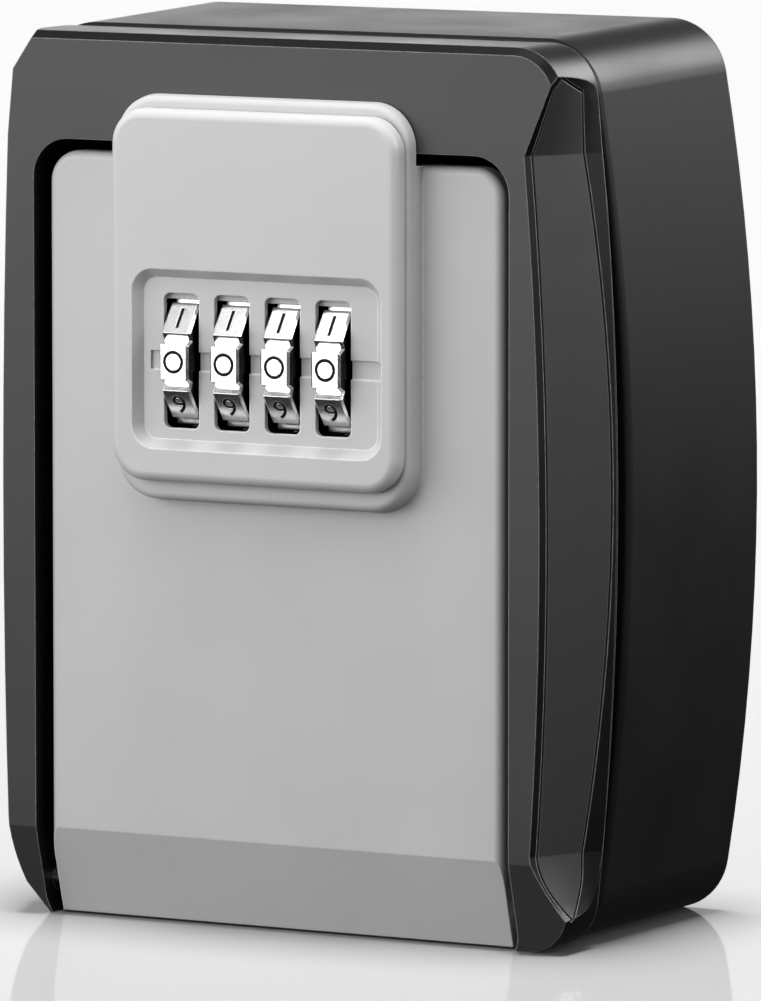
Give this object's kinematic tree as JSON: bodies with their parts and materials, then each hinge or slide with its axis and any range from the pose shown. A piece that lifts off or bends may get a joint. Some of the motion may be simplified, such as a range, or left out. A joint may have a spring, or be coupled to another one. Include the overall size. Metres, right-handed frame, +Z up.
{
  "type": "key lock box",
  "caption": "Wall-mounted key safe: a dark cast case with a silver bottom-hinged door, opened by combination dials in a spring-loaded pull-down slide.",
  "frame": {"origin": "centre of the four wall-fixing holes, on the back plane of the case", "axes": "+Z up the wall, -Y out of the front, +X to the right seen from the front"},
  "size_m": [0.0916, 0.0516, 0.115],
  "materials": {
    "case_black": "satin black powder coat on zinc casting",
    "frame_grey": "satin dark grey coat on zinc casting",
    "inlay_grey": "satin dark grey moulded strip",
    "door_silver": "satin silver-grey coat on zinc casting",
    "slide_silver": "satin silver coat on zinc casting",
    "dial_chrome": "nickel-chrome plated",
    "zinc_steel": "zinc plated",
    "polished_steel": "ground",
    "spring_steel": "bright spring steel",
    "cover_black": "moulded black",
    "brass": "turned brass"
  },
  "bodies": {
    "case": {"rear_shell": "case_black", "front_frame": "frame_grey", "right_side_inlay": "inlay_grey", "left_side_inlay": "inlay_grey", "frame_screws": "zinc_steel", "hinge_pin": "polished_steel"},
    "door": {"door_panel": "door_silver", "lock_cover": "cover_black", "cover_screws": "zinc_steel", "fence_comb": "zinc_steel"},
    "slide": {"slide_plate": "slide_silver", "slide_retainer": "zinc_steel", "retainer_screws": "zinc_steel", "latch_bolt": "zinc_steel", "bolt_screws": "zinc_steel", "left_return_spring": "spring_steel", "right_return_spring": "spring_steel", "detent_comb": "spring_steel", "dial_axle": "polished_steel"},
    "reset": {"reset_slider": "brass"},
    "dial_body_1": {"dial_1": "dial_chrome"},
    "sleeve_body_1": {"cam_sleeve_1": "brass"},
    "dial_body_2": {"dial_2": "dial_chrome"},
    "sleeve_body_2": {"cam_sleeve_2": "brass"},
    "dial_body_3": {"dial_3": "dial_chrome"},
    "sleeve_body_3": {"cam_sleeve_3": "brass"},
    "dial_body_4": {"dial_4": "dial_chrome"},
    "sleeve_body_4": {"cam_sleeve_4": "brass"}
  },
  "joints": [
    {"name": "door_hinge", "type": "hinge", "parent": "case", "child": "door", "pos_m": [0, -0.0406, -0.0533], "axis": [1, 0, 0], "range_deg": [0, 100]},
    {"name": "slide_travel", "type": "slide", "parent": "door", "child": "slide", "axis": [0, 0, -1], "range_m": [0, 0.007], "stiffness_N_per_m": 700, "springref_m": -0.003, "deforming": ["left_return_spring", "right_return_spring"]},
    {"name": "reset_shift", "type": "slide", "parent": "slide", "child": "reset", "axis": [-1, 0, 0], "range_m": [0, 0.0014]},
    {"name": "dial_1_turn", "type": "hinge", "parent": "slide", "child": "dial_body_1", "pos_m": [-0.01095, -0.0422, 0.0155], "axis": [1, 0, 0], "continuous": true},
    {"name": "sleeve_1_shift", "type": "slide", "parent": "dial_body_1", "child": "sleeve_body_1", "axis": [-1, 0, 0], "range_m": [0, 0.0014]},
    {"name": "dial_2_turn", "type": "hinge", "parent": "slide", "child": "dial_body_2", "pos_m": [-0.00365, -0.0422, 0.0155], "axis": [1, 0, 0], "continuous": true},
    {"name": "sleeve_2_shift", "type": "slide", "parent": "dial_body_2", "child": "sleeve_body_2", "axis": [-1, 0, 0], "range_m": [0, 0.0014]},
    {"name": "dial_3_turn", "type": "hinge", "parent": "slide", "child": "dial_body_3", "pos_m": [0.00365, -0.0422, 0.0155], "axis": [1, 0, 0], "continuous": true},
    {"name": "sleeve_3_shift", "type": "slide", "parent": "dial_body_3", "child": "sleeve_body_3", "axis": [-1, 0, 0], "range_m": [0, 0.0014]},
    {"name": "dial_4_turn", "type": "hinge", "parent": "slide", "child": "dial_body_4", "pos_m": [0.01095, -0.0422, 0.0155], "axis": [1, 0, 0], "continuous": true},
    {"name": "sleeve_4_shift", "type": "slide", "parent": "dial_body_4", "child": "sleeve_body_4", "axis": [-1, 0, 0], "range_m": [0, 0.0014]}
  ],
  "couplings": [
    {"joint": "sleeve_1_shift", "follows": "reset_shift", "ratio": 1},
    {"joint": "sleeve_2_shift", "follows": "reset_shift", "ratio": 1},
    {"joint": "sleeve_3_shift", "follows": "reset_shift", "ratio": 1},
    {"joint": "sleeve_4_shift", "follows": "reset_shift", "ratio": 1}
  ]
}
